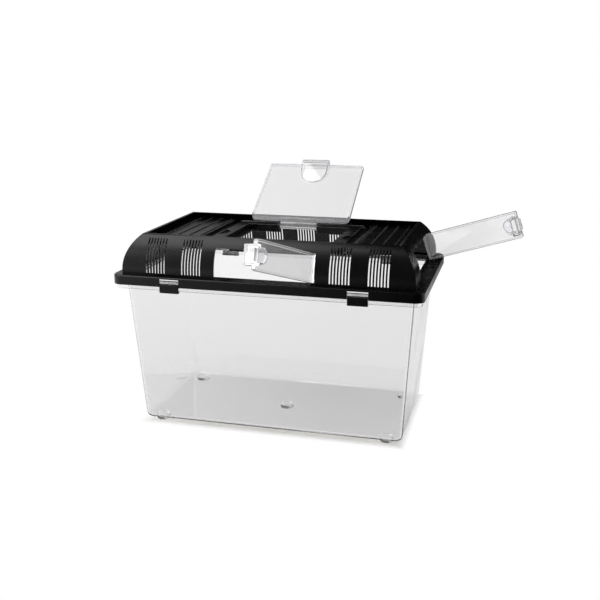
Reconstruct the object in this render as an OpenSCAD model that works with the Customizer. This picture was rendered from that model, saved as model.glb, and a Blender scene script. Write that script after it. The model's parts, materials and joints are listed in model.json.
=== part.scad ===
// Plastic pet keeper: a clear drafted tank under an arched, vented lid
// with three clear latched doors. Millimetres, +Z up, -Y is the front.
// The origin is on the ground at the middle of the tank.

/* [Overall] */
// Length of the lid rim, left to right
rim_len = 370; // [340:1:400]
// Width of the lid rim, front to back
rim_wid = 223; // [214:1:240]
// Height of the lower edge of the lid rim above the ground
rim_bottom = 181; // [150:0.5:200]

/* [Tank] */
// How far the lid rim stands out past each end of the tank
end_overhang = 12.2; // [12:0.1:14]
// How far the lid rim stands out past the front and back of the tank
side_overhang = 13.2; // [12:0.1:15]
// How far each end of the tank leans in towards the bottom
end_draft = 11.9; // [4:0.1:16]
// How far the front and back of the tank lean in towards the bottom
side_draft = 14.1; // [4:0.1:18]
// Thickness of the tank walls
tank_wall = 2.2; // [1.6:0.1:3]
// Thickness of the tank bottom
tank_floor = 2.6; // [2:0.1:4]
// Radius of the upright corners of the tank
tank_corner_r = 8; // [5:0.5:12]
// Height of the feet
foot_h = 4; // [2:0.1:5]
// Radius of each foot
foot_r = 8.5; // [6:0.5:10]
// Radius on the bottom edge of the tank
tank_edge_r = 5; // [3:0.5:6]
// How far the turned-down lip of the flange shows below the lid rim
lip_show = 4.8; // [3:0.1:6]

/* [Lid rim] */
// Height of the lid rim
rim_h = 11.5; // [11:0.5:16]
// Thickness of the lid walls
lid_wall = 2.2; // [1.8:0.1:2.6]
// Radius of the rim corners in plan
rim_corner_r = 12; // [11:0.5:18]
// Radius on the upper outer edge of the rim
rim_edge_r = 2; // [1:0.25:2.5]
// Width of the flat land between the rim edge and the arched walls
rim_land = 10.4; // [8:0.1:11]

/* [Arched walls and vents] */
// Radius of the arch in section
arch_r = 54.4; // [50:0.1:60]
// Height of the straight foot of the arched walls
arch_foot = 3.5; // [2:0.5:8]
// Rise of the arch above its straight foot
arch_rise = 41.8; // [38:0.1:44]
// Number of slits in each vent group
slit_n = 7; // [3:1:8]
// Width of each slit
slit_w = 1.8; // [1.2:0.1:2]
// Spacing of the slits in a group
slit_pitch = 3.65; // [3:0.05:4]
// Spacing of the vent groups
group_pitch = 44.2; // [40:0.1:45]
// Height of the lower end of the slits above the rim
slit_rise = 1.2; // [1:0.1:4]
// Height of the slits in the front wall
slit_len = 40; // [30:1:41]
// Height of the slits in the rear and left walls, which end under the sunken top
low_slit_len = 33; // [26:1:33]

/* [Sunken top] */
// Depth of the sunken top below the edge of the lid
top_sink = 8; // [6:0.5:10]
// Thickness of the top
top_t = 2; // [1.6:0.1:2.4]
// Spacing of the ribs on the top
rib_pitch = 14.3; // [12:0.1:14.4]
// Width of each rib
rib_w = 1.4; // [1:0.1:2]
// Height of each rib
rib_h = 1.1; // [0.6:0.1:1.6]
// Number of ribs on each side
rib_n = 4; // [2:1:4]
// Distance of the first rib from the gutter's middle
rib_from = 10.6; // [8:0.1:11]
// Radius of the rounded gutter beside the door frame
gutter_r = 8.5; // [7:0.1:10]
// Depth of the gutter
gutter_d = 3.2; // [2:0.1:3.6]
// Distance of the gutter from the middle of the lid
gutter_x = 88.2; // [87:0.1:89]
// Radius of the round finger recess that opens off the gutter
recess_r = 18.5; // [14:0.5:22]
// How far the finger recess reaches into the door frame
recess_in = 10; // [8:0.5:10.5]
// Place of the finger recess, front to back
recess_y = -6; // [-16:1:4]

/* [Top door] */
// Half width of the top opening
well_half = 67; // [62:0.1:67.5]
// Rear edge of the top opening
well_rear = 56; // [52:0.5:57]
// Front edge of the top opening
well_front = -60.5; // [-62:0.5:-50]
// Depth of the well below the sunken top
well_d = 9.5; // [9.5:0.5:12]
// Width of the ledge that the door rests on
ledge_w = 5; // [4:0.1:6]
// Opening angle at rest, measured from closed
top_open = 149; // [0:1:150]
// Height of the top hinge above the sunken top
top_hinge_up = 0.2; // [0.2:0.1:1]
// Distance of the top hinge behind the opening
top_hinge_back = 4; // [3.8:0.1:4.4]
// Length of the top hinge barrel
barrel_len = 48; // [40:1:60]
// Outer radius of the top hinge barrel
barrel_r = 5.6; // [5:0.1:5.8]
// Width of the frame behind the top opening, which carries the hinge
rear_land = 8.5; // [8:0.5:10]
// Radius of the top hinge rod
rod_r = 2.6; // [2:0.1:2.8]

/* [Front and side doors] */
// Length of the front door from its hinge to its free end
front_len = 115.5; // [110:0.5:117]
// Length of the side door from its hinge to its free end
side_len = 119; // [110:0.5:120]
// Height of a door
door_h = 32.7; // [30:0.1:32.8]
// Depth of a door's skirt from its outer face
door_d = 5.8; // [4:0.1:6]
// Thickness of a door's walls
door_t = 1.8; // [1.4:0.1:2]
// How far a door's outer face stands in front of its hinge line
door_face = 2.6; // [2.4:0.1:2.8]
// Lean of the front and side doors from upright
door_lean = 19; // [18:0.5:19.5]
// Opening angle of the front door at rest
front_open = 73; // [0:1:98]
// Opening angle of the side door at rest
side_open = 79; // [0:1:98]
// Place of the front door's hinge, left to right
front_hinge_x = 56.2; // [54:0.1:60]
// Place of the side door's hinge, front to back
side_hinge_y = 59.5; // [57:0.1:60]
// Height of the middle of both hinge lines above the rim
hinge_rise = 17.2; // [17.1:0.1:17.4]
// Distance of the hinge lines inside the foot of the arched walls
hinge_in = 6.5; // [6.4:0.1:6.8]
// Radius of the hinge pins
pin_r = 1.25; // [1:0.05:1.3]
// Length of the hinge pins
pin_len = 1.8; // [1.4:0.1:1.9]
// Radial clearance of pins and rod
pin_clear = 0.05; // [0.02:0.01:0.1]

/* [Latches] */
// Depth of the front and side latches from their doors' outer faces
latch_d = 17; // [12:0.5:18]
// Depth of the top latch from the door's outer face
top_latch_d = 14; // [11:0.5:15]
// Width of the front and side latches
latch_w = 17.6; // [16:0.2:20]
// Width of the top latch
top_latch_w = 33; // [30:1:34]
// Thickness of a latch tongue
tongue_t = 1.6; // [1.2:0.1:1.8]
// Reach of a catch beyond its door's free end
catch_reach = 2.4; // [2:0.1:2.6]
// Width of the thumb well in the front and side doors
well_w = 15; // [12:0.5:16]
// Length of the thumb well in the front and side doors
well_len = 19; // [18:1:30]
// Length of the thumb well in the top door
top_well_len = 34; // [28:1:40]

/* [Clips] */
// Distance of each clip from the middle of the lid
clip_x = 111.7; // [100:0.1:120]
// Width of a clip
clip_w = 23.5; // [20:0.1:26]
// Height of the window above a clip
window_h = 6.2; // [5:0.1:7]
// Height of a clip's upper edge above the lower edge of the rim
clip_up = 3; // [2:0.1:3.4]
// Reach of a clip's foot under the flange
clip_foot = 2.4; // [1.6:0.1:2.6]

/* [Hidden] */
$fn = 64;
e = 0.01;
far = 600;
past = 1;
gap = 0.3;
seam = 0.03;
black = "#1b1b1e";
clear = "#dfe6ea";
rim_top = rim_bottom + rim_h;
arch_base = rim_top + arch_foot;
lid_top = arch_base + arch_rise;
wall_x = rim_len / 2 - rim_land;
wall_y = rim_wid / 2 - rim_land;
tank_len_top = rim_len - 2 * end_overhang;
tank_wid_top = rim_wid - 2 * side_overhang;
tank_len_bottom = tank_len_top - 2 * end_draft;
tank_wid_bottom = tank_wid_top - 2 * side_draft;
mitre_x = wall_x - wall_y;
plate_top = lid_top - top_sink;
plate_low = plate_top - top_t;
well_low = plate_top - well_d;
frame_x = gutter_x - sqrt(gutter_r * gutter_r - pow(gutter_r - gutter_d, 2));
gutter_z = plate_top + gutter_r - gutter_d;
rear_gutter_y = well_rear + rear_land + gutter_x - frame_x;
backing = 1.8;
flange_t = 2;
foot_in_x = 18.5;
foot_in_y = 13.5;
flange_play = 0.4;
flange_in = lid_wall + flange_play;
flange_up = 4;
flange_top = rim_bottom + flange_up;
lip_low = rim_bottom - lip_show;
land_back = 8.5;
land_in = rim_land + land_back;
land_r = 4;
rail_in = 8;
rail_t = 2;
hinge_z = rim_top + hinge_rise;
top_hinge_y = well_rear + top_hinge_back;
top_hinge_z = plate_top + top_hinge_up;
top_face = -1.5;
top_side_play = 1.5;
top_half = well_half - top_side_play;
top_rear_play = 0.4;
top_tail = top_hinge_back + top_rear_play;
top_end_play = 1.2;
top_reach = top_hinge_y - well_front - top_end_play;
top_d = 5.8;
top_corner_r = 7;
door_tail = 1.8;
door_corner_r = 1.5;
tray_corner_r = 0.5;
door_play = 0.5;
tail_play = 2;
end_play = 0.8;
cut_half = door_h / 2 + door_play;
cut_tail = door_tail + tail_play;
cut_depth = 30;
cut_below = 10;
boss_r = 3;
upper_boss_h = 6;
lower_boss_h = 4;
pin_root = 1;
well_t = 1.6;
scoop_step = 3;
scoop_flat = 4;
flex_angle = 14;
thumb_lip = 0.7;
tongue_gap = 0.02;
catch_h = 2.4;
catch_nose = 0.6;
catch_slope = 0.2;
catch_in = 2;
small_catch = 2;
top_catch = 3.4;
lug_r = 3.6;
lug_w = 3;
leaf_low = -5;
leaf_in = 2;
ledge_t = 2;
well_wall = 2;
slot_up = 3.5;
slot_h = 4.5;
slot_in = 1;
stop_t = 2;
stop_in = 5;
stop_low = 15.2;
stop_h = 8.2;
hook_t = 2.1;
hook_in = 0.4;

// Flat outline with round corners, centred
module round_rect(len, wid, r) {
  square([len - 2 * r, wid], center = true);
  square([len, wid - 2 * r], center = true);
  for (sx = [-1, 1])
    for (sy = [-1, 1])
      translate([sx * (len / 2 - r), sy * (wid / 2 - r)])
        circle(r);
}

// Upright block with round corners between two heights
module round_block(len, wid, r, z0, z1) {
  translate([0, 0, z0])
    linear_extrude(z1 - z0)
      round_rect(len, wid, r);
}

// Everything between two heights
module layer(z0, z1) {
  translate([-far / 2, -far / 2, z0])
    cube([far, far, z1 - z0]);
}

// Everything between two places along X
module span(x0, x1) {
  translate([x0, -far / 2, -far / 2])
    cube([x1 - x0, far, far]);
}

// Size of the tank at a height, from its draft
function draft(bottom, top, z) = bottom + (top - bottom) * z / flange_top;

// Thin slice of the tank at one height, drawn in by an inset
module tank_slice(inset, r, z) {
  translate([0, 0, z])
    linear_extrude(e)
      round_rect(draft(tank_len_bottom, tank_len_top, z) - 2 * inset,
                 draft(tank_wid_bottom, tank_wid_top, z) - 2 * inset, r);
}

// Drafted body, rounded at the bottom and drawn in by an inset
module tank_body(inset, low, high) {
  r = tank_corner_r - inset;
  edge = tank_edge_r - inset;
  hull() {
    for (a = [0 : 18 : 90])
      tank_slice(inset + edge * (1 - sin(a)), r - edge * (1 - sin(a)) / 2, low + edge * (1 - cos(a)));
    tank_slice(inset, r, high - e);
  }
}

// Clear tank: drafted walls, a flange with a turned-down lip, feet at the corners and the middle
module tank() {
  flange_len = rim_len - 2 * flange_in;
  flange_wid = rim_wid - 2 * flange_in;
  flange_r = rim_corner_r - flange_in;
  color(clear, 0.4)
    difference() {
      union() {
        tank_body(0, foot_h, flange_top);
        for (place = [[1, 1], [-1, 1], [-1, -1], [1, -1], [0, 0]])
          translate([place[0] * (tank_len_bottom / 2 - foot_in_x),
                     place[1] * (tank_wid_bottom / 2 - foot_in_y), 0])
            cylinder(h = foot_h + past, r = foot_r);
        difference() {
          round_block(flange_len, flange_wid, flange_r, lip_low, flange_top);
          round_block(flange_len - 2 * flange_t, flange_wid - 2 * flange_t, flange_r - flange_t,
                      lip_low - past, flange_top - flange_t);
        }
      }
      tank_body(tank_wall, foot_h + tank_floor, flange_top + past);
    }
}

// Round along the upper outer edge of the rim
module rim_edge() {
  mid_x = rim_len / 2 - rim_corner_r;
  mid_y = rim_wid / 2 - rim_corner_r;
  out = rim_corner_r - rim_edge_r;
  translate([0, 0, rim_top - rim_edge_r]) {
    for (s = [-1, 1]) {
      translate([0, s * (mid_y + out), 0])
        rotate([0, 90, 0])
          cylinder(h = 2 * mid_x, r = rim_edge_r, center = true);
      translate([s * (mid_x + out), 0, 0])
        rotate([90, 0, 0])
          cylinder(h = 2 * mid_y, r = rim_edge_r, center = true);
    }
    for (corner = [[1, 1, 0], [-1, 1, 90], [-1, -1, 180], [1, -1, 270]])
      translate([corner[0] * mid_x, corner[1] * mid_y, 0])
        rotate([0, 0, corner[2]])
          rotate_extrude(angle = 90)
            translate([out, 0])
              circle(rim_edge_r);
  }
}

// Opening in the skirt at each clip, from the lower edge to the top of its window
module clip_windows() {
  for (sx = [-1, 1])
    for (sy = [-1, 1])
      translate([sx * clip_x - clip_w / 2 - gap, sy * rim_wid / 2 - 2 * lid_wall, rim_bottom - past])
        cube([clip_w + 2 * gap, 4 * lid_wall, past + clip_up + window_h]);
}

// Black rim: skirt, flat land, and a rail that stands on the tank's flange
module lid_rim() {
  color(black)
    difference() {
      union() {
        difference() {
          union() {
            round_block(rim_len, rim_wid, rim_corner_r, rim_bottom, rim_top - rim_edge_r);
            round_block(rim_len - 2 * rim_edge_r, rim_wid - 2 * rim_edge_r,
                        rim_corner_r - rim_edge_r, rim_top - rim_edge_r - past, rim_top);
            rim_edge();
          }
          round_block(rim_len - 2 * lid_wall, rim_wid - 2 * lid_wall, rim_corner_r - lid_wall,
                      rim_bottom - past, rim_top - lid_wall);
          round_block(rim_len - 2 * land_in, rim_wid - 2 * land_in, land_r,
                      rim_bottom - past, rim_top + past);
        }
        difference() {
          round_block(rim_len - 2 * rail_in, rim_wid - 2 * rail_in, rim_corner_r - rail_in,
                      flange_top, rim_top - past);
          round_block(rim_len - 2 * (rail_in + rail_t), rim_wid - 2 * (rail_in + rail_t),
                      rim_corner_r - rail_in - rail_t, flange_top - past, rim_top);
        }
        at_front()
          lower_boss();
        at_side()
          lower_boss();
      }
      clip_windows();
      at_front()
        pin_bores();
      at_side()
        pin_bores();
    }
}

// Section of the body under the arched walls: an upright foot, then a round arch
module arch_section(half, inset) {
  mid = half - arch_r;
  r = arch_r - inset;
  low = inset > 0 ? rim_top - past : rim_top;
  high = inset > 0 ? lid_top + past : lid_top;
  intersection() {
    union() {
      translate([-mid - r, low])
        square([2 * (mid + r), arch_base - low]);
      translate([-mid, low])
        square([2 * mid, high - low]);
      for (s = [-1, 1])
        translate([s * mid, arch_base])
          circle(r, $fn = 180);
    }
    translate([-half, low])
      square([2 * half, high - low]);
  }
}

// Body under the arched walls: two crossed vaults, drawn in by an inset
module arched_body(inset) {
  intersection() {
    rotate([90, 0, 0])
      translate([0, 0, -far / 2])
        linear_extrude(far)
          arch_section(wall_x, inset);
    rotate([90, 0, 90])
      translate([0, 0, -far / 2])
        linear_extrude(far)
          arch_section(wall_y, inset);
  }
}

// The four arched walls in one, mitred at their corners
module arched_walls() {
  difference() {
    arched_body(0);
    arched_body(lid_wall);
  }
}

// One long arched wall between its mitres; side is -1 in front, 1 behind
module long_wall(side) {
  reach = wall_y + past;
  intersection() {
    arched_walls();
    linear_extrude(far)
      polygon([[-mitre_x, 0], [mitre_x, 0], [mitre_x + reach, side * reach],
               [-mitre_x - reach, side * reach]]);
  }
}

// One end wall between its mitres; side is -1 at the left, 1 at the right
module end_wall(side) {
  reach = wall_y + past;
  intersection() {
    arched_walls();
    linear_extrude(far)
      polygon([[side * mitre_x, 0], [side * (mitre_x + reach), reach],
               [side * (mitre_x + reach), -reach]]);
  }
}

// Cutters for one group of vent slits, at a place along X
module slit_group(x, len) {
  for (i = [0 : slit_n - 1])
    translate([x + (i - (slit_n - 1) / 2) * slit_pitch - slit_w / 2, -far / 2, rim_top + slit_rise])
      cube([slit_w, far, len]);
}

// Puts what is drawn at a door's hinge line into the front wall
module at_front() {
  translate([front_hinge_x, hinge_in - wall_y, hinge_z])
    rotate([-door_lean, 0, 0])
      rotate([0, 0, 180])
        children();
}

// Puts what is drawn at a door's hinge line into the right end wall
module at_side() {
  translate([wall_x - hinge_in, side_hinge_y, hinge_z])
    rotate([0, -door_lean, 0])
      rotate([0, 0, -90])
        children();
}

// Opening in a wall for a front or side door, widened past both of its ends
module door_opening(len, wider) {
  translate([-cut_tail - wider, -cut_depth, -cut_half - cut_below])
    cube([len + end_play + cut_tail + 2 * wider, 2 * cut_depth, 2 * cut_half + cut_below]);
}

// Upper hinge socket, kept inside the wall and under the sunken top
module upper_boss() {
  translate([0, 0, cut_half])
    cylinder(h = upper_boss_h, r = boss_r);
}

// Lower hinge socket, on the land of the rim
module lower_boss() {
  translate([0, 0, -cut_half - lower_boss_h])
    cylinder(h = lower_boss_h, r = boss_r);
}

// Bores for both hinge pins of a front or side door
module pin_bores() {
  reach = door_h / 2 + pin_len + gap;
  cylinder(h = 2 * reach, r = pin_r + pin_clear, center = true);
}

// Vented piece of the front wall between two places along X
module front_vents(x0, x1) {
  color(black)
    difference() {
      intersection() {
        long_wall(-1);
        span(x0, x1);
      }
      for (g = [-3, -2, 2, 3])
        slit_group(g * group_pitch, slit_len);
    }
}

// Vented front wall left of the front opening
module front_vents_left() {
  front_vents(-far / 2, front_hinge_x - front_len - end_play);
}

// Vented front wall right of the front opening
module front_vents_right() {
  front_vents(front_hinge_x + cut_tail, far / 2);
}

// Upper hinge socket of a door: what of it lies inside the wall and under the sunken top
module socket_in_wall() {
  intersection() {
    children();
    layer(0, plate_low);
    arched_body(0);
  }
}

// Strip of the front wall over the front opening, with its hinge socket
module front_door_header() {
  color(black)
    difference() {
      union() {
        difference() {
          intersection() {
            long_wall(-1);
            span(front_hinge_x - front_len - end_play, front_hinge_x + cut_tail);
          }
          at_front()
            door_opening(front_len, past);
        }
        socket_in_wall()
          at_front()
            upper_boss();
      }
      at_front()
        pin_bores();
    }
}

// Vented wall at the back
module rear_vent_wall() {
  color(black)
    difference() {
      long_wall(1);
      for (g = [-3 : 3])
        slit_group(g * group_pitch, low_slit_len);
    }
}

// Vented wall at the left end
module left_end_vent_wall() {
  color(black)
    difference() {
      end_wall(-1);
      rotate([0, 0, 90])
        for (g = [-1 : 1])
          slit_group(g * group_pitch, low_slit_len);
    }
}

// Frame around the side opening at the right end, with its hinge socket
module right_end_frame() {
  color(black)
    difference() {
      union() {
        difference() {
          end_wall(1);
          at_side()
            door_opening(side_len, 0);
        }
        socket_in_wall()
          at_side()
            upper_boss();
      }
      at_side()
        pin_bores();
    }
}

// Round gutters: one beside each edge of the door frame, one behind it
module gutters(r) {
  for (s = [-1, 1])
    translate([s * gutter_x, 0, gutter_z])
      rotate([90, 0, 0])
        cylinder(h = far, r = r, center = true);
  translate([0, rear_gutter_y, gutter_z])
    rotate([0, 90, 0])
      cylinder(h = 2 * gutter_x, r = r, center = true);
}

// Plate of the sunken top with its gutters
module top_plate() {
  difference() {
    intersection() {
      arched_body(lid_wall + seam);
      union() {
        layer(plate_low, plate_top);
        intersection() {
          gutters(gutter_r + backing);
          layer(plate_low - gutter_r, plate_low + e);
        }
      }
    }
    gutters(gutter_r);
  }
}

// Left ribbed panel of the sunken top
module top_panel_left() {
  color(black) {
    intersection() {
      top_plate();
      span(-far / 2, -frame_x);
    }
    intersection() {
      arched_body(lid_wall + seam);
      for (i = [0 : rib_n - 1])
        translate([-gutter_x - rib_from - i * rib_pitch - rib_w / 2, -far / 2, plate_top - top_t / 2])
          cube([rib_w, far, rib_h + top_t / 2]);
    }
  }
}

// Right ribbed panel of the sunken top
module top_panel_right() {
  mirror([1, 0, 0])
    top_panel_left();
}

// Half-round finger recess beside each gutter, grown by a wall
module finger_recesses(grow, z0, z1) {
  intersection() {
    for (s = [-1, 1])
      translate([s * (frame_x + recess_r - recess_in), recess_y, z0])
        cylinder(h = z1 - z0, r = recess_r + grow);
    span(-frame_x, frame_x);
  }
}

// Solid parts of the top door's frame before its openings are cut
module frame_blank() {
  intersection() {
    top_plate();
    span(-frame_x, frame_x);
  }
  translate([-well_half - well_wall, well_front - well_wall, well_low])
    cube([2 * (well_half + well_wall), well_rear - well_front + 2 * well_wall, well_d]);
  finger_recesses(backing, plate_top - gutter_d - backing, plate_top - top_t / 2);
  for (s = [-1, 1])
    translate([s * (barrel_len / 2 + door_play + lug_w / 2), top_hinge_y, top_hinge_z])
      rotate([0, 90, 0])
        cylinder(h = lug_w, r = lug_r, center = true);
  intersection() {
    at_front()
      translate([stop_in, door_face - door_d - stop_t - 2 * gap, stop_low])
        cube([front_len - 2 * stop_in - latch_w / 2, stop_t, stop_h]);
    layer(0, plate_top - top_t / 2);
    arched_body(lid_wall + seam);
  }
}

// Frame and well of the top opening, with the hinge rod and a stop for the front door
module top_door_frame() {
  pocket = barrel_len + 2 * door_play;
  notch = top_latch_w + 2 * (gap + door_t + door_play);
  color(black) {
    difference() {
      frame_blank();
      translate([-well_half, well_front, well_low + ledge_t])
        cube([2 * well_half, well_rear - well_front, well_d]);
      translate([-well_half + ledge_w, well_front + ledge_w, well_low - past])
        cube([2 * (well_half - ledge_w), well_rear - well_front - ledge_w, 2 * ledge_t]);
      translate([-pocket / 2, well_rear - past, well_low - past])
        cube([pocket, past + top_hinge_back + barrel_r + 2 * gap, 2 * well_d]);
      translate([-notch / 2, well_front, well_low - past])
        cube([notch, ledge_w + past, 2 * ledge_t]);
      translate([-top_latch_w / 2 + slot_in, well_front - well_wall - past,
                 plate_top - slot_up - slot_h])
        cube([top_latch_w - 2 * slot_in, well_wall + 2 * past, slot_h]);
      finger_recesses(0, plate_top - gutter_d, lid_top);
    }
    translate([0, top_hinge_y, top_hinge_z])
      rotate([0, 90, 0])
        cylinder(h = pocket + 2 * lug_w, r = rod_r, center = true);
  }
}

// Outline of a door: X from the hinge to the free end, Y along the hinge
module door_outline(tail, len, half, tail_r, free_r) {
  translate([tail + tail_r, -half])
    square([len - tail - tail_r - free_r, 2 * half]);
  for (corner = [[tail + tail_r, tail_r], [len - free_r, free_r]]) {
    translate([corner[0] - corner[1], -half + corner[1]])
      square([2 * corner[1], 2 * half - 2 * corner[1]]);
    for (s = [-1, 1])
      translate([corner[0], s * (half - corner[1])])
        circle(corner[1]);
  }
}

// Upright prism of a flat door outline, from its outer face inwards
module door_prism(face, depth) {
  translate([0, face, 0])
    rotate([90, 0, 0])
      linear_extrude(depth)
        children();
}

// Scoop with a round inner end and a sloping floor; grow is its wall
module scoop(len, face, wid, reach, depth, grow) {
  r = wid / 2 + grow;
  over = grow > 0 ? 0 : past;
  start = len - reach - grow;
  intersection() {
    door_prism(face + over, depth + over) {
      translate([start + r, 0])
        circle(r);
      translate([start + r, -r])
        square([len - start - r + over, 2 * r]);
    }
    translate([0, 0, -far / 2])
      linear_extrude(far)
        polygon([[start, face + over], [start, face - scoop_step - grow / 2],
                 [len - scoop_flat, face - depth], [len + over, face - depth], [len + over, face + over]]);
  }
}

// Room behind a latch tongue, so that it can be pressed in by the flex angle
function flex_room(block_d) = tongue_t + gap + (block_d - well_t + thumb_lip) * tan(flex_angle);

// Tray-shaped door made at its hinge line: X to the free end, Y outwards, Z along the hinge
module door_tray(tail, len, half, depth, face, tail_r, scoop_w, scoop_len, tongue_w, block_d) {
  cheek = tongue_w / 2 + gap + door_t;
  flex = flex_room(block_d);
  difference() {
    union() {
      difference() {
        door_prism(face, depth)
          door_outline(tail, len, half, tail_r, door_corner_r);
        door_prism(face - door_t, depth)
          door_outline(tail + door_t, len - door_t, half - door_t,
                       tail_r - door_t + tray_corner_r, tray_corner_r);
      }
      scoop(len, face, scoop_w, scoop_len, block_d, well_t);
      translate([len - flex - well_t, face - block_d, -cheek])
        cube([flex + well_t, block_d, 2 * cheek]);
    }
    scoop(len, face, scoop_w, scoop_len, block_d - well_t, 0);
    translate([len - flex, face - block_d + well_t, -cheek + door_t])
      cube([flex + past, block_d, 2 * (cheek - door_t)]);
  }
}

// Latch tongue made at its door's hinge line; catch_at is how far its catch lies behind the face
module tongue(len, face, wid, catch_at, block_d) {
  root = face - block_d + well_t + tongue_gap;
  nose = face - catch_at - catch_slope;
  translate([len - tongue_t, root, -wid / 2])
    cube([tongue_t, face + thumb_lip - root, wid]);
  translate([0, 0, -wid / 2 + catch_in])
    linear_extrude(wid - 2 * catch_in)
      polygon([[len - e, face - catch_at - catch_h], [len + catch_reach, nose - catch_nose],
               [len + catch_reach, nose], [len - e, face - catch_at]]);
}

// Front or side door of a length, with its two hinge pins
module small_door(len) {
  door_tray(-door_tail, len, door_h / 2, door_d, door_face, door_corner_r,
            well_w, well_len, latch_w, latch_d);
  for (s = [-1, 1])
    translate([0, 0, s * (door_h / 2 + (pin_len - pin_root) / 2)])
      cylinder(h = pin_len + pin_root, r = pin_r, center = true);
}

// Clear front door, standing open
module front_door() {
  color(clear, 0.5)
    at_front()
      rotate([0, 0, front_open])
        small_door(front_len);
}

// Clear side door, standing open
module side_door() {
  color(clear, 0.5)
    at_side()
      rotate([0, 0, side_open])
        small_door(side_len);
}

// Latch of the front door
module front_door_latch() {
  color(clear, 0.5)
    at_front()
      rotate([0, 0, front_open])
        tongue(front_len, door_face, latch_w, small_catch, latch_d);
}

// Latch of the side door
module side_door_latch() {
  color(clear, 0.5)
    at_side()
      rotate([0, 0, side_open])
        tongue(side_len, door_face, latch_w, small_catch, latch_d);
}

// Puts what is drawn at a door's hinge line into the top opening, turned open
module at_top() {
  translate([0, top_hinge_y, top_hinge_z])
    rotate([-top_open, 0, 0])
      rotate([90, 0, -90])
        children();
}

// Clear top door with its hinge barrel, leaning back
module top_door() {
  color(clear, 0.5)
    at_top()
      difference() {
        union() {
          door_tray(top_tail, top_reach, top_half, top_d, top_face, top_corner_r,
                    top_latch_w + 2 * gap, top_well_len, top_latch_w, top_latch_d);
          cylinder(h = barrel_len, r = barrel_r, center = true);
          translate([0, leaf_low, -barrel_len / 2])
            cube([top_tail + leaf_in, top_face - leaf_low, barrel_len]);
        }
        cylinder(h = barrel_len + 2 * past, r = rod_r + pin_clear, center = true);
      }
}

// Latch of the top door
module top_door_latch() {
  color(clear, 0.5)
    at_top()
      tongue(top_reach, top_face, top_latch_w, top_catch, top_latch_d);
}

// Snap clip of the lid; sx and sy pick its corner
module clip(sx, sy) {
  low = lip_low - gap - hook_t;
  inner = rim_wid / 2 - lid_wall + hook_in;
  color(black)
    translate([sx * clip_x, 0, 0])
      mirror([0, sy > 0 ? 0 : 1, 0]) {
        translate([-clip_w / 2, inner, low])
          cube([clip_w, lid_wall, rim_bottom + clip_up - low]);
        translate([-clip_w / 2, inner - clip_foot, low])
          cube([clip_w, clip_foot + hook_in, hook_t]);
      }
}

// Clip at the front left
module front_left_clip() {
  clip(-1, -1);
}

// Clip at the front right
module front_right_clip() {
  clip(1, -1);
}

// Clip at the back left
module rear_left_clip() {
  clip(-1, 1);
}

// Clip at the back right
module rear_right_clip() {
  clip(1, 1);
}

tank();
lid_rim();
front_vents_left();
front_vents_right();
front_door_header();
rear_vent_wall();
left_end_vent_wall();
right_end_frame();
top_panel_left();
top_panel_right();
top_door_frame();
top_door();
front_door();
side_door();
top_door_latch();
front_door_latch();
side_door_latch();
front_left_clip();
front_right_clip();
rear_left_clip();
rear_right_clip();
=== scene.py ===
"""Looks of a plastic pet keeper: a clear drafted tank and a black arched lid with three clear doors.

Every length is in metres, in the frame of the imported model: +X to the end with the side door,
+Y to the back, +Z up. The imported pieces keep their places. This script gives them their surfaces,
and adds the floor, the lamps and the camera.
"""

import bmesh
import bpy
import json
import math
from mathutils import Matrix, Vector


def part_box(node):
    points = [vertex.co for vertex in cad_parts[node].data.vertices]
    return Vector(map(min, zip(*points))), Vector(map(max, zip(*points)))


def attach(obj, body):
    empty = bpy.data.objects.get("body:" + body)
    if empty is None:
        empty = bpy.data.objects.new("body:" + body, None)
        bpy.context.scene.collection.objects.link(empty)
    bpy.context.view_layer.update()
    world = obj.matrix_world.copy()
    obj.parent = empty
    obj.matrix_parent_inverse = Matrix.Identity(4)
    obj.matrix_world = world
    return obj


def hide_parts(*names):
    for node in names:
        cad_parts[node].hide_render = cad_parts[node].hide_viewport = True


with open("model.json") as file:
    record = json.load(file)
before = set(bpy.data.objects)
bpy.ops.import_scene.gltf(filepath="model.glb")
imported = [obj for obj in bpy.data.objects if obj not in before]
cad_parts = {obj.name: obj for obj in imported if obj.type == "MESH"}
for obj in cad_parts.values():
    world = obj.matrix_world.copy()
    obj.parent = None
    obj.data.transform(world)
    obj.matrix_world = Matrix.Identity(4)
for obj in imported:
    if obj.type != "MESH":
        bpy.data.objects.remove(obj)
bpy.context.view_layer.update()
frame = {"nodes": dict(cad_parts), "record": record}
nodes = frame["nodes"]

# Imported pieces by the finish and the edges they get; the tank and the rim have a way of their own
DOOR_NODES = ["top_door", "front_door", "side_door",
              "top_door_latch", "front_door_latch", "side_door_latch"]
WALL_NODES = ["front_vents_left", "front_vents_right", "front_door_header",
              "rear_vent_wall", "left_end_vent_wall", "right_end_frame"]
TOP_NODES = ["top_panel_left", "top_panel_right", "top_door_frame"]
CLIPS = ["front_left_clip", "front_right_clip", "rear_left_clip", "rear_right_clip"]

# Clear polystyrene: tints, the tint of lamp light that passes a wall, the share of light that passes
# instead of scattering, smears from handling and waves from moulding. A scale is in cycles per metre.
TANK_TINT = (0.914, 0.912, 0.916)
# The doors are tinted greyer than the tank as painted shade, the top door darker still
DOOR_SHADE_TINT = (0.87, 0.867, 0.877)
TOP_DOOR_SHADE_TINT = (0.835, 0.832, 0.84)
# The door edges and steps get a lighter, bluer tint and pass less light: a painted highlight
EDGE_HIGHLIGHT_TINT = (0.88, 0.875, 0.905)
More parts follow.
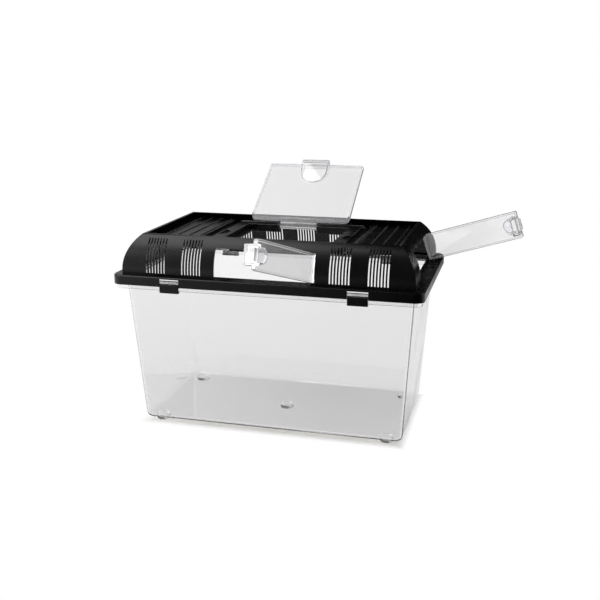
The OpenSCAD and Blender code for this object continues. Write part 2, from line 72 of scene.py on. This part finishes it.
# The latch edges get a darker tint: painted shade
LATCH_SHADE_TINT = (0.74, 0.735, 0.76)
SHADOW_TINT = (0.955, 0.95, 0.94)
TANK_CLEAR = 1.0
DOOR_CLEAR = 0.9
EDGE_CLEAR = 0.76
POLYSTYRENE_IOR = 1.59
SMEAR_SCALE = 22.0
SMEAR_DETAIL = 3.0
SMEAR_SPAN = (0.35, 0.75)
CLEAR_ROUGHNESS = (0.01, 0.04)
WAVE_SCALE = 14.0
WAVE_DETAIL = 1.0
WAVE_STRENGTH = 0.12
WAVE_DEPTH = 0.0006

# Black polypropylene: tone as moulded, a lighter tone on rounded edges as a painted highlight, patches of
# gloss, and the grain
BLACK_TONE = 0.0012
EDGE_HIGHLIGHT_TONE = 0.2
POLYPROPYLENE_IOR = 1.5
BLACK_SPECULAR = 0.25
PATCH_SCALE = 30.0
PATCH_DETAIL = 5.0
PATCH_SPAN = (0.3, 0.7)
BLACK_ROUGHNESS = (0.24, 0.32)
GRAIN_SCALE = 2600.0
GRAIN_DETAIL = 2.0
GRAIN_STRENGTH = 0.25
GRAIN_DEPTH = 0.00003

# Edges of the mouldings: distances in metres, angles in degrees
MERGE = 0.00001
FLAT_ANGLE = 0.5
SHARP_ANGLE = 32.0
ROUNDING = 0.0004
ROUNDING_STEPS = 2

# Doors: least cosine between a face and the panel that makes it a panel face, and the extent of the
# hinge leaf of the top door from the middle and from the door's lowest point
PANEL_COSINE = 0.95
LEAF_HALF = 0.023
LEAF_RISE = 0.0131

# Notches behind the clip windows: how far in from the rim's outer face the rail begins, how far the
# cutter stands out of the rail and goes into it, its reach past the sides of the clip, and its lowest
# and highest place above the clip
RAIL_IN = 0.008
NOTCH_OUT = 0.001
NOTCH_IN = 0.003
NOTCH_SIDE = 0.008
NOTCH_LOW = 0.001
NOTCH_HIGH = 0.0085

# Floor: half of its side, its drop below the feet, its surface, and how far the foot of the tank lies
# inside its flange
FLOOR_HALF = 6.0
FLOOR_DROP = 0.0002
FLOOR_TINT = (0.87, 0.86, 0.845)
FLOOR_ROUGHNESS = 0.6
FOOT_IN = 0.028

# What is seen of the floor, by the distance past the foot: straight, and through clear plastic
STRAIGHT_SPAN = (0.0, 0.012)
THROUGH_SPAN = (0.01, 0.06)
THROUGH_SHARE = (0.95, 1.0)
WHITENING_SPAN = (0.03, 0.5)
WHITENING = (0.95, 1.0)

# What gloss shows of the floor: bright at the left and in a band behind, dark at the right
GLOSS_LEFT_SPAN = (-0.8, 0.05)
GLOSS_LEFT = (1.4, 0.005)
GLOSS_BEHIND_SPAN = (-0.2, 0.1)
GLOSS_BEHIND = (0.0, 0.8)
GLOSS_FAR_SPAN = (0.7, 1.1)

# Room light, by the X part of the direction it comes from
ROOM_SPAN = (-0.6, -0.2)
ROOM_LIGHT = (0.95, 0.005)

WHITE = (1.0, 1.0, 1.0, 1.0)
RISING = (0.0, 1.0)
FALLING = (1.0, 0.0)

# Lamps: name, place, width and height in metres, power in watts
LAMP_TARGET = (0.0, 0.0, 0.12)
LAMPS = [("box_above", (-0.75, -0.5, 1.6), (1.0, 1.0), 13.0),
         ("box_left", (-1.35, -1.15, 0.75), (0.9, 1.2), 13.0),
         ("box_right", (1.5, 0.3, 0.7), (0.6, 0.8), 5.0)]

# Camera: place in metres, turns in degrees, lens and sensor in millimetres
CAMERA_PLACE = (0.2882, -1.0318, 0.4319)
CAMERA_AZIMUTH = 14.72
CAMERA_DIP = 15.01
CAMERA_ROLL = -0.05
CAMERA_LENS = 52.72
CAMERA_SENSOR = 36.0
CAMERA_REACH = 50.0


def add_object(name, data):
    """A new object of the given data, in the scene."""
    piece = bpy.data.objects.new(name, data)
    bpy.context.scene.collection.objects.link(piece)
    return piece


# Shader helpers --------------------------------------------------------------------------------

def new_material(name):
    """An empty node material with its Principled shader and output."""
    material = bpy.data.materials.new(name)
    material.use_nodes = True
    tree = material.node_tree
    tree.nodes.clear()
    output = tree.nodes.new("ShaderNodeOutputMaterial")
    shader = tree.nodes.new("ShaderNodeBsdfPrincipled")
    tree.links.new(shader.outputs["BSDF"], output.inputs["Surface"])
    return material, tree, shader, output


def coordinates(tree, kind):
    """One kind of texture coordinates."""
    return tree.nodes.new("ShaderNodeTexCoord").outputs[kind]


def split(tree, vector):
    """The X, Y and Z parts of a vector."""
    node = tree.nodes.new("ShaderNodeSeparateXYZ")
    tree.links.new(vector, node.inputs["Vector"])
    return node.outputs


def noise(tree, coords, scale, detail):
    """A noise texture on the given coordinates, in cycles per metre."""
    node = tree.nodes.new("ShaderNodeTexNoise")
    node.inputs["Scale"].default_value = scale
    node.inputs["Detail"].default_value = detail
    tree.links.new(coords, node.inputs["Vector"])
    return node.outputs["Fac"]


def ramp(tree, value, span, result):
    """Maps a span of a value to a span of results, clamped."""
    node = tree.nodes.new("ShaderNodeMapRange")
    for socket, number in zip(("From Min", "From Max", "To Min", "To Max"), (*span, *result)):
        node.inputs[socket].default_value = number
    tree.links.new(value, node.inputs["Value"])
    return node.outputs["Result"]


def bump(tree, height, strength, depth):
    """A bump of the given height map."""
    node = tree.nodes.new("ShaderNodeBump")
    node.inputs["Strength"].default_value = strength
    node.inputs["Distance"].default_value = depth
    tree.links.new(height, node.inputs["Height"])
    return node.outputs["Normal"]


def maths(tree, operation, *values):
    """A Math node on sockets or plain numbers."""
    node = tree.nodes.new("ShaderNodeMath")
    node.operation = operation
    for socket, value in zip(node.inputs, values):
        if isinstance(value, float):
            socket.default_value = value
        else:
            tree.links.new(value, socket)
    return node.outputs["Value"]


def larger(tree, first, second):
    """The larger of two values."""
    return maths(tree, "MAXIMUM", first, second)


def times(tree, first, second):
    """The product of two values."""
    return maths(tree, "MULTIPLY", first, second)


def minus(tree, first, second):
    """The first value less the second, not below zero."""
    return larger(tree, maths(tree, "SUBTRACT", first, second), 0.0)


def past_edge(tree, value, half):
    """How far a coordinate lies outside a band around zero."""
    return minus(tree, maths(tree, "ABSOLUTE", value), half)


def mix_shaders(tree, share, first, second, output):
    """Sends a mix of two shaders to the output; the share is the second one's."""
    mix = tree.nodes.new("ShaderNodeMixShader")
    tree.links.new(share, mix.inputs["Fac"])
    tree.links.new(first, mix.inputs[1])
    tree.links.new(second, mix.inputs[2])
    tree.links.new(mix.outputs["Shader"], output.inputs["Surface"])


# Materials -------------------------------------------------------------------------------------

def clear_polystyrene(name, tint, clear):
    """Clear moulded plastic, faintly wavy and smeared by handling, which lets lamp light through."""
    material, tree, shader, output = new_material(name)
    coords = coordinates(tree, "Object")
    shader.inputs["Base Color"].default_value = (*tint, 1.0)
    shader.inputs["Transmission Weight"].default_value = clear
    shader.inputs["IOR"].default_value = POLYSTYRENE_IOR
    smears = ramp(tree, noise(tree, coords, SMEAR_SCALE, SMEAR_DETAIL), SMEAR_SPAN, CLEAR_ROUGHNESS)
    tree.links.new(smears, shader.inputs["Roughness"])
    waves = bump(tree, noise(tree, coords, WAVE_SCALE, WAVE_DETAIL), WAVE_STRENGTH, WAVE_DEPTH)
    tree.links.new(waves, shader.inputs["Normal"])
    through = tree.nodes.new("ShaderNodeBsdfTransparent")
    through.inputs["Color"].default_value = (*SHADOW_TINT, 1.0)
    path = tree.nodes.new("ShaderNodeLightPath").outputs
    mix_shaders(tree, path["Is Shadow Ray"], shader.outputs["BSDF"], through.outputs["BSDF"], output)
    return material


def black_polypropylene(name, tone):
    """Black moulded plastic, satin, with a fine spark-eroded grain."""
    material, tree, shader, _ = new_material(name)
    coords = coordinates(tree, "Object")
    shader.inputs["Base Color"].default_value = (tone, tone, tone, 1.0)
    shader.inputs["IOR"].default_value = POLYPROPYLENE_IOR
    shader.inputs["Specular IOR Level"].default_value = BLACK_SPECULAR
    patches = ramp(tree, noise(tree, coords, PATCH_SCALE, PATCH_DETAIL), PATCH_SPAN, BLACK_ROUGHNESS)
    tree.links.new(patches, shader.inputs["Roughness"])
    grain = bump(tree, noise(tree, coords, GRAIN_SCALE, GRAIN_DETAIL), GRAIN_STRENGTH, GRAIN_DEPTH)
    tree.links.new(grain, shader.inputs["Normal"])
    return material


# Moulded pieces --------------------------------------------------------------------------------

def merged_copy(name):
    """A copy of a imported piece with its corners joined."""
    mesh = nodes[name].data.copy()
    mesh.name = name + "_moulding"
    shape = bmesh.new()
    shape.from_mesh(mesh)
    bmesh.ops.remove_doubles(shape, verts=shape.verts, dist=MERGE)
    shape.to_mesh(mesh)
    shape.free()
    return add_object(mesh.name, mesh)


def box_mesh(name, boxes):
    """One mesh of several boxes, each given by its lowest and highest corner."""
    shape = bmesh.new()
    for low, high in boxes:
        corners = bmesh.ops.create_cube(shape, size=1.0)["verts"]
        for corner in corners:
            for axis in range(3):
                corner.co[axis] = low[axis] if corner.co[axis] < 0 else high[axis]
    mesh = bpy.data.meshes.new(name)
    shape.to_mesh(mesh)
    shape.free()
    return mesh


def clip_notches():
    """Notches in the rail behind the four clip windows, through which the clear flange shows."""
    rim_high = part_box("lid_rim")[1]
    rail = rim_high[1] - RAIL_IN
    boxes = []
    for name in CLIPS:
        low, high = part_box(name)
        side = 1.0 if low[1] > 0 else -1.0
        front, back = sorted((side * (rail + NOTCH_OUT), side * (rail - NOTCH_IN)))
        boxes.append(((low[0] - NOTCH_SIDE, front, high[2] + NOTCH_LOW),
                      (high[0] + NOTCH_SIDE, back, high[2] + NOTCH_HIGH)))
    return box_mesh("rail_notches", boxes)


def cut_away(piece, cutter_mesh):
    """Cuts a closed mesh out of a piece, for good."""
    cutter = add_object(cutter_mesh.name, cutter_mesh)
    cut = piece.modifiers.new("cut", "BOOLEAN")
    cut.operation = "DIFFERENCE"
    cut.object = cutter
    bpy.context.view_layer.update()
    result = bpy.data.meshes.new_from_object(piece.evaluated_get(bpy.context.evaluated_depsgraph_get()))
    piece.modifiers.clear()
    piece.data = result
    bpy.data.objects.remove(cutter)
    bpy.data.meshes.remove(cutter_mesh)


def flatten(piece):
    """Joins the triangles of flat faces, so that an edge can be rounded evenly."""
    shape = bmesh.new()
    shape.from_mesh(piece.data)
    limit = math.radians(FLAT_ANGLE)
    bmesh.ops.dissolve_limit(shape, angle_limit=limit, verts=shape.verts, edges=shape.edges)
    shape.to_mesh(piece.data)
    shape.free()


def round_edges(piece, edge_highlight):
    """Slightly rounds the crisp edges, as a mould leaves them, in a lighter tone as a painted highlight
    where one is given.
    """
    bevel = piece.modifiers.new("rounding", "BEVEL")
    bevel.width = ROUNDING
    bevel.segments = ROUNDING_STEPS
    bevel.limit_method = "ANGLE"
    bevel.angle_limit = math.radians(SHARP_ANGLE)
    bevel.harden_normals = True
    bevel.use_clamp_overlap = True
    # The rounded faces take the lighter tone: a painted highlight
    if edge_highlight:
        piece.data.materials.append(edge_highlight)
        bevel.material = len(piece.data.materials) - 1


def stand_for(piece, name, body):
    """Has a piece ride on a body in place of an imported one."""
    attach(piece, body)
    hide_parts(name)


def black_moulding(name, body, black, rounded=False, cutter=None, edge_highlight=None):
    """A piece of the black lid, smooth along its arches and crisp or slightly rounded at its edges."""
    piece = merged_copy(name)
    if cutter:
        cut_away(piece, cutter)
    if rounded:
        flatten(piece)
    piece.data.materials.clear()
    piece.data.materials.append(black)
    piece.data.shade_smooth()
    piece.data.set_sharp_from_angle(angle=math.radians(SHARP_ANGLE))
    if rounded:
        round_edges(piece, edge_highlight)
    stand_for(piece, name, body)


def door_moulding(name, body, panel_clear, painted_edge_clear):
    """A clear door or latch whose panel and whose edges and steps have their own tints: painted shade on
    the panel, a painted highlight on a door's edges and painted shade on a latch's edges.
    """
    mesh = nodes[name].data.copy()
    mesh.name = name + "_moulding"
    panel = max(mesh.polygons, key=lambda face: face.area).normal.copy()
    leaf_top = min(corner.co.z for corner in mesh.vertices) + LEAF_RISE
    mesh.materials.clear()
    mesh.materials.append(panel_clear)
    mesh.materials.append(painted_edge_clear)
    for face in mesh.polygons:
        leaf = name == "top_door" and abs(face.center.x) < LEAF_HALF and face.center.z < leaf_top
        flat = abs(face.normal.dot(panel)) > PANEL_COSINE
        face.material_index = 0 if leaf or flat else 1
    stand_for(add_object(mesh.name, mesh), name, body)


def dress(name, material):
    """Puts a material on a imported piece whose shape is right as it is."""
    mesh = nodes[name].data
    mesh.materials.clear()
    mesh.materials.append(material)


def keeper():
    """The tank, the pieces of the lid, the clips and the doors in their finishes."""
    tank_clear = clear_polystyrene("tank_polystyrene", TANK_TINT, TANK_CLEAR)
    # Door panels in greyer tints than the tank: painted shade
    door_shade_clear = clear_polystyrene("door_shade_polystyrene", DOOR_SHADE_TINT, DOOR_CLEAR)
    top_shade_clear = clear_polystyrene("top_door_shade_polystyrene", TOP_DOOR_SHADE_TINT, DOOR_CLEAR)
    # Door edges and steps: a painted highlight
    painted_edge_clear = clear_polystyrene("edge_highlight_polystyrene", EDGE_HIGHLIGHT_TINT, EDGE_CLEAR)
    # Latch edges: a darker tint, painted shade
    latch_shade_clear = clear_polystyrene("latch_shade_polystyrene", LATCH_SHADE_TINT, EDGE_CLEAR)
    black = black_polypropylene("black_polypropylene", BLACK_TONE)
    # A lighter black on the rounded edges of the top pieces, as a painted highlight along the ribs
    edge_highlight = black_polypropylene("edge_highlight_polypropylene", EDGE_HIGHLIGHT_TONE)
    bodies = frame["record"]["behaviour"]["bodies"]
    body_of = {name: body for body, names in bodies.items() for name in names}
    for name in list(nodes):
        if name == "tank":
            dress(name, tank_clear)
        elif name in DOOR_NODES:
            panel = top_shade_clear if name.startswith("top") else door_shade_clear
            edge = latch_shade_clear if name.endswith("latch") else painted_edge_clear
            door_moulding(name, body_of[name], panel, edge)
        elif name in WALL_NODES:
            black_moulding(name, body_of[name], black)
        elif name in TOP_NODES:
            black_moulding(name, body_of[name], black, rounded=True, edge_highlight=edge_highlight)
        elif name in CLIPS:
            black_moulding(name, body_of[name], black, rounded=True)
        else:
            black_moulding(name, body_of[name], black, rounded=True, cutter=clip_notches())


# Studio ----------------------------------------------------------------------------------------

def white_floor():
    """A white floor with the keeper's shadow close by, seen as plain white further away."""
    mesh = bpy.data.meshes.new("floor")
    corners = [(-FLOOR_HALF, -FLOOR_HALF), (FLOOR_HALF, -FLOOR_HALF),
               (FLOOR_HALF, FLOOR_HALF), (-FLOOR_HALF, FLOOR_HALF)]
    mesh.from_pydata([(x, y, -FLOOR_DROP) for x, y in corners], [], [(0, 1, 2, 3)])
    floor = add_object("floor", mesh)
    material, tree, shader, output = new_material("floor_white")
    shader.inputs["Base Color"].default_value = (*FLOOR_TINT, 1.0)
    shader.inputs["Roughness"].default_value = FLOOR_ROUGHNESS
    place = split(tree, coordinates(tree, "Object"))
    tank_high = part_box("tank")[1]
    beyond = larger(tree, past_edge(tree, place["X"], tank_high[0] - FOOT_IN),
                    past_edge(tree, place["Y"], tank_high[1] - FOOT_IN))
    path = tree.nodes.new("ShaderNodeLightPath").outputs
    straight = times(tree, ramp(tree, beyond, STRAIGHT_SPAN, RISING), path["Is Camera Ray"])
    through = times(tree, ramp(tree, beyond, THROUGH_SPAN, THROUGH_SHARE), path["Is Transmission Ray"])
    mirrored = minus(tree, path["Is Glossy Ray"], path["Is Transmission Ray"])
    left = ramp(tree, place["X"], GLOSS_LEFT_SPAN, GLOSS_LEFT)
    behind = times(tree, ramp(tree, place["Y"], GLOSS_BEHIND_SPAN, GLOSS_BEHIND),
                   ramp(tree, place["Y"], GLOSS_FAR_SPAN, FALLING))
    whitening = times(tree, path["Is Transmission Ray"], ramp(tree, beyond, WHITENING_SPAN, WHITENING))
    seen = larger(tree, path["Is Camera Ray"], whitening)
    strength = larger(tree, seen, times(tree, mirrored, larger(tree, left, behind)))
    white = tree.nodes.new("ShaderNodeEmission")
    white.inputs["Color"].default_value = WHITE
    tree.links.new(strength, white.inputs["Strength"])
    share = larger(tree, larger(tree, straight, through), mirrored)
    mix_shaders(tree, share, shader.outputs["BSDF"], white.outputs["Emission"], output)
    mesh.materials.append(material)


def white_room():
    """Room light, brighter at the left, and plain white where it is seen straight or through plastic."""
    world = bpy.data.worlds.new("room")
    bpy.context.scene.world = world
    world.use_nodes = True
    tree = world.node_tree
    tree.nodes.clear()
    output = tree.nodes.new("ShaderNodeOutputWorld")
    way = split(tree, coordinates(tree, "Generated"))
    lit = tree.nodes.new("ShaderNodeBackground")
    lit.inputs["Color"].default_value = WHITE
    tree.links.new(ramp(tree, way["X"], ROOM_SPAN, ROOM_LIGHT), lit.inputs["Strength"])
    seen = tree.nodes.new("ShaderNodeBackground")
    seen.inputs["Color"].default_value = WHITE
    seen.inputs["Strength"].default_value = 1.0
    path = tree.nodes.new("ShaderNodeLightPath").outputs
    # A straight ray has depth 1 here; what passes through plastic adds to both depths
    turns = minus(tree, minus(tree, path["Ray Depth"], path["Transmission Depth"]), 1.0)
    share = larger(tree, path["Is Camera Ray"], ramp(tree, turns, RISING, FALLING))
    mix_shaders(tree, share, lit.outputs["Background"], seen.outputs["Background"], output)


def studio_lamps():
    """Soft boxes above, at the front left and at the right, all turned to the keeper."""
    for name, place, size, power in LAMPS:
        data = bpy.data.lights.new(name, "AREA")
        data.shape = "RECTANGLE"
        data.size, data.size_y = size
        data.energy = power
        lamp = add_object(name, data)
        lamp.location = place
        lamp.rotation_euler = (Vector(LAMP_TARGET) - Vector(place)).to_track_quat("-Z", "Y").to_euler()


def camera():
    """The camera in front of the keeper, a little to its right and above it."""
    data = bpy.data.cameras.new("camera")
    data.sensor_width = CAMERA_SENSOR
    data.lens = CAMERA_LENS
    data.clip_end = CAMERA_REACH
    azimuth, dip, roll = (math.radians(a) for a in (CAMERA_AZIMUTH, CAMERA_DIP, CAMERA_ROLL))
    look = Vector((-math.sin(azimuth) * math.cos(dip), math.cos(azimuth) * math.cos(dip), -math.sin(dip)))
    turned = look.to_track_quat("-Z", "Y").to_matrix() @ Matrix.Rotation(roll, 3, "Z")
    eye = add_object("camera", data)
    eye.matrix_world = Matrix.Translation(CAMERA_PLACE) @ turned.to_4x4()
    bpy.context.scene.camera = eye


def main():
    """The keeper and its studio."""
    keeper()
    white_floor()
    white_room()
    studio_lamps()
    camera()
    bpy.context.scene.view_settings.view_transform = "Standard"


main()
